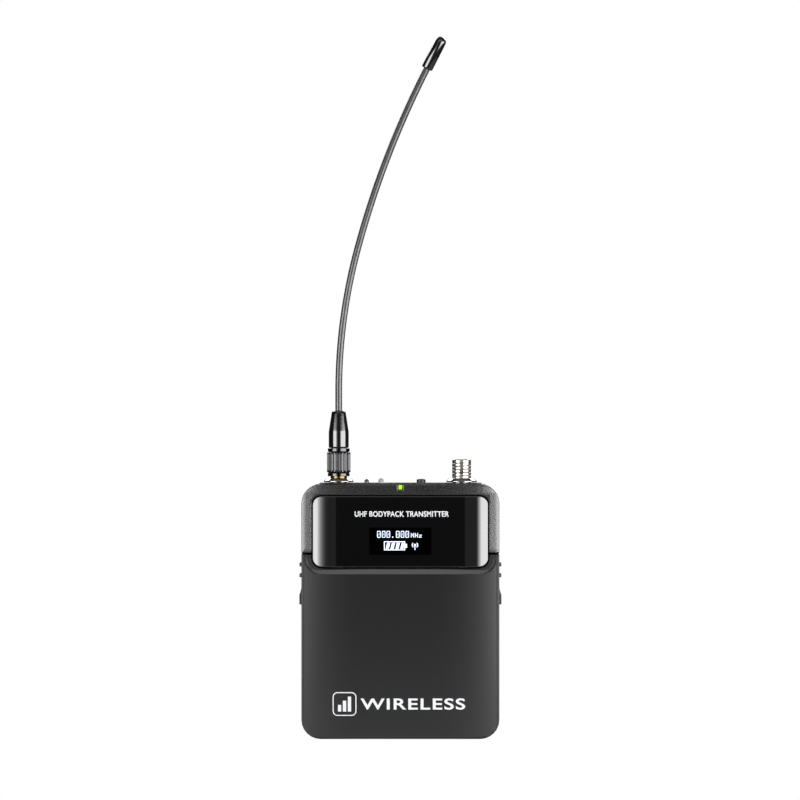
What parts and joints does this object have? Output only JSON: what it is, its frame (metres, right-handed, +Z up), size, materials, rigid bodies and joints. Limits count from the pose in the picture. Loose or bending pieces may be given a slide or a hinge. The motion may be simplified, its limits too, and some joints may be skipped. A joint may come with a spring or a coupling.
{
  "type": "wireless bodypack transmitter",
  "caption": "Pocket-sized radio microphone transmitter with a bent whip antenna, threaded microphone socket, display window, hinged battery door and wire belt clip.",
  "frame": {"origin": "centre of the bottom face of the case", "axes": "+Z up along the antenna, -Y out of the front with the display, +X to the right seen from the front"},
  "size_m": [0.0676, 0.0307, 0.2349],
  "materials": {
    "textured_case": "fine sand texture",
    "door_paint": "smooth satin",
    "gloss_black": "high gloss",
    "window_gloss": "high gloss",
    "matte_black": "matte",
    "whip_jacket": "satin",
    "chrome": "polished",
    "nickel": "satin",
    "gold": "plated",
    "steel": "satin",
    "circuit_board": "solder resist",
    "switch_plastic": "matte",
    "cell_jacket": "printed foil",
    "display_glass": "glass",
    "foam": "matte",
    "clear_lens": "clear",
    "dark_lens": "clear",
    "green_light": "lit",
    "insulator": "matte",
    "grey_key": "matte",
    "print_white": "ink",
    "display_light": "lit"
  },
  "bodies": {
    "case": {"rear_case": "textured_case", "front_frame": "textured_case", "hinge_pin": "steel", "top_plate": "matte_black", "display_window": "window_gloss", "window_gasket": "foam", "oled_display": "display_glass", "main_board": "circuit_board", "rf_shield": "nickel", "battery_tray": "matte_black", "battery_upper": "cell_jacket", "battery_lower": "cell_jacket", "contact_spring_upper": "nickel", "contact_spring_lower": "nickel", "bridge_contact": "nickel", "positive_contact": "nickel", "negative_contact": "nickel", "control_panel": "matte_black", "key_switch_up": "switch_plastic", "key_switch_down": "switch_plastic", "key_switch_set": "switch_plastic", "release_spring_left": "steel", "release_spring_right": "steel", "power_switch": "switch_plastic", "audio_lamp_lens": "clear_lens", "input_lamp_lens": "dark_lens", "status_light_pipe": "green_light", "antenna_jack": "gold", "antenna_jack_nut": "chrome", "mic_connector_shell": "nickel", "mic_connector_insert": "insulator", "mic_pin_1": "gold", "mic_pin_2": "gold", "mic_pin_3": "gold", "mic_pin_4": "gold", "mic_connector_nut": "chrome", "frame_screw_1": "steel", "frame_screw_2": "steel", "panel_screw_1": "steel", "panel_screw_2": "steel", "board_screw_1": "steel", "board_screw_2": "steel"},
    "door": {"battery_door": "door_paint"},
    "release_left": {"release_button_left": "matte_black"},
    "release_right": {"release_button_right": "matte_black"},
    "power_button": {"power_button": "gloss_black"},
    "key_up": {"key_up": "grey_key"},
    "key_down": {"key_down": "grey_key"},
    "key_set": {"key_set": "grey_key"},
    "antenna": {"antenna_contact": "gold", "antenna_sleeve": "gloss_black", "antenna_whip": "whip_jacket", "antenna_tip": "gloss_black"},
    "coupling_nut": {"antenna_coupling_nut": "gloss_black"},
    "clip": {"belt_clip": "steel"}
  },
  "joints": [
    {"name": "door_hinge", "type": "hinge", "parent": "case", "child": "door", "pos_m": [0, -0.0094, 0.0024], "axis": [1, 0, 0], "range_deg": [0, 90]},
    {"name": "release_left_press", "type": "slide", "parent": "case", "child": "release_left", "axis": [1, 0, 0], "range_m": [0, 0.0012], "stiffness_N_per_m": 800, "springref_m": -0.001, "deforming": ["release_spring_left"]},
    {"name": "release_right_press", "type": "slide", "parent": "case", "child": "release_right", "axis": [-1, 0, 0], "range_m": [0, 0.0012], "stiffness_N_per_m": 800, "springref_m": -0.001, "deforming": ["release_spring_right"]},
    {"name": "power_button_press", "type": "slide", "parent": "case", "child": "power_button", "axis": [0, 0, -1], "range_m": [0, 0.0004], "stiffness_N_per_m": 1500, "springref_m": -0.0004},
    {"name": "key_up_press", "type": "slide", "parent": "case", "child": "key_up", "axis": [0, 1, 0], "range_m": [0, 0.0004], "stiffness_N_per_m": 1500, "springref_m": -0.0004},
    {"name": "key_down_press", "type": "slide", "parent": "case", "child": "key_down", "axis": [0, 1, 0], "range_m": [0, 0.0004], "stiffness_N_per_m": 1500, "springref_m": -0.0004},
    {"name": "key_set_press", "type": "slide", "parent": "case", "child": "key_set", "axis": [0, 1, 0], "range_m": [0, 0.0004], "stiffness_N_per_m": 1500, "springref_m": -0.0004},
    {"name": "antenna_lift", "type": "slide", "parent": "case", "child": "antenna", "axis": [0, 0, 1], "range_m": [0, 0.0042]},
    {"name": "coupling_nut_turn", "type": "hinge", "parent": "antenna", "child": "coupling_nut", "pos_m": [-0.02065, 0, 0.0876], "axis": [0, 0, 1], "range_deg": [0, 2160]},
    {"name": "clip_open", "type": "hinge", "parent": "case", "child": "clip", "pos_m": [0, 0.0142, 0.069], "axis": [1, 0, 0], "range_deg": [0, 20], "stiffness_Nm_per_rad": 0.6, "springref_deg": -8.59}
  ],
  "couplings": [
    {"joint": "coupling_nut_turn", "follows": "antenna_lift", "rad_per_m": 8975}
  ]
}
